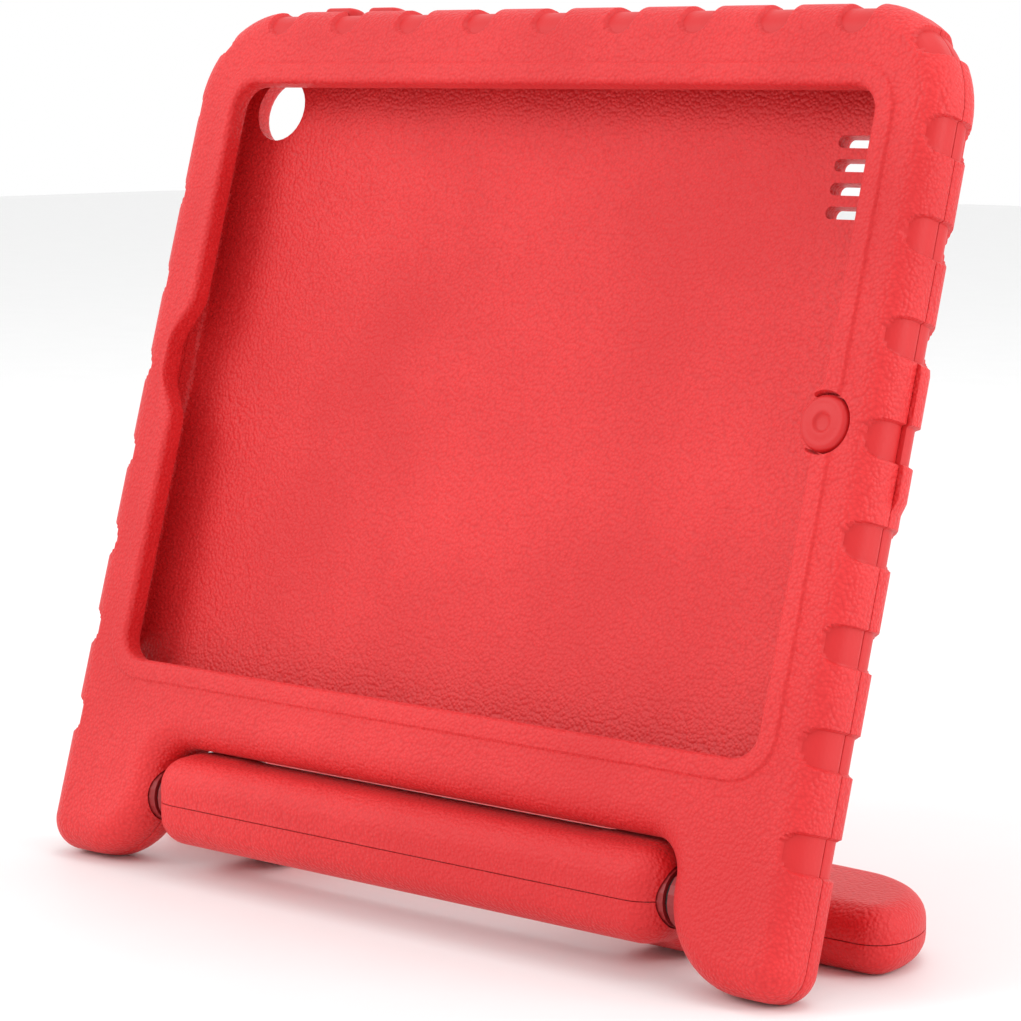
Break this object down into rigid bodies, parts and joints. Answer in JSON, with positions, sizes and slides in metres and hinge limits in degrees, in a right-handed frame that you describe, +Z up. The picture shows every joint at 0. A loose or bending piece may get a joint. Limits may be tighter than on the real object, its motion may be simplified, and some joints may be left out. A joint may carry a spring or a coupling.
{
  "type": "tablet case",
  "caption": "Foam bumper case for a landscape tablet, with treaded edges, a raised lip round the screen and a fold-back carry handle that serves as a stand.",
  "frame": {"origin": "on the floor, under the middle of the standing case's bounding box", "axes": "+X to the right of a person facing the screen, +Y to the back, +Z up; the case leans back 16.5 degrees and rests on its two feet and the handle's loop"},
  "size_m": [0.2595, 0.0842, 0.234],
  "materials": {
    "red_foam": "pebbled, soft satin sheen",
    "hinge_plastic": "moulded, fine matt",
    "pin_steel": "turned, zinc plated",
    "washer_rubber": "dull"
  },
  "bodies": {
    "case": {"front_shell": "red_foam", "rear_shell": "red_foam", "foot_socket_right": "hinge_plastic", "foot_socket_left": "hinge_plastic", "hinge_pin_right": "pin_steel", "hinge_pin_left": "pin_steel", "retaining_clip_right": "pin_steel", "retaining_clip_left": "pin_steel"},
    "handle": {"handle_upper_half": "red_foam", "handle_lower_half": "red_foam", "handle_hub_right": "hinge_plastic", "handle_hub_left": "hinge_plastic", "friction_washer_right": "washer_rubber", "friction_washer_left": "washer_rubber"},
    "home_pad": {"home_button_pad": "red_foam"},
    "power_pad": {"power_button_pad": "red_foam"},
    "volume_up": {"volume_up_pad": "red_foam"},
    "volume_down": {"volume_down_pad": "red_foam"}
  },
  "joints": [
    {"name": "handle_hinge", "type": "hinge", "parent": "case", "child": "handle", "pos_m": [0, -0.02784, 0.01983], "axis": [1, 0, 0], "range_deg": [-180, 0]},
    {"name": "home_press", "type": "slide", "parent": "case", "child": "home_pad", "axis": [0, 0.9588, -0.284], "range_m": [0, 0.001], "stiffness_N_per_m": 2500},
    {"name": "power_press", "type": "slide", "parent": "case", "child": "power_pad", "axis": [1, 0, 0], "range_m": [0, 0.0008], "stiffness_N_per_m": 3000},
    {"name": "volume_up_press", "type": "slide", "parent": "case", "child": "volume_up", "axis": [0, -0.284, -0.9588], "range_m": [0, 0.0008], "stiffness_N_per_m": 3000},
    {"name": "volume_down_press", "type": "slide", "parent": "case", "child": "volume_down", "axis": [0, -0.284, -0.9588], "range_m": [0, 0.0008], "stiffness_N_per_m": 3000}
  ]
}
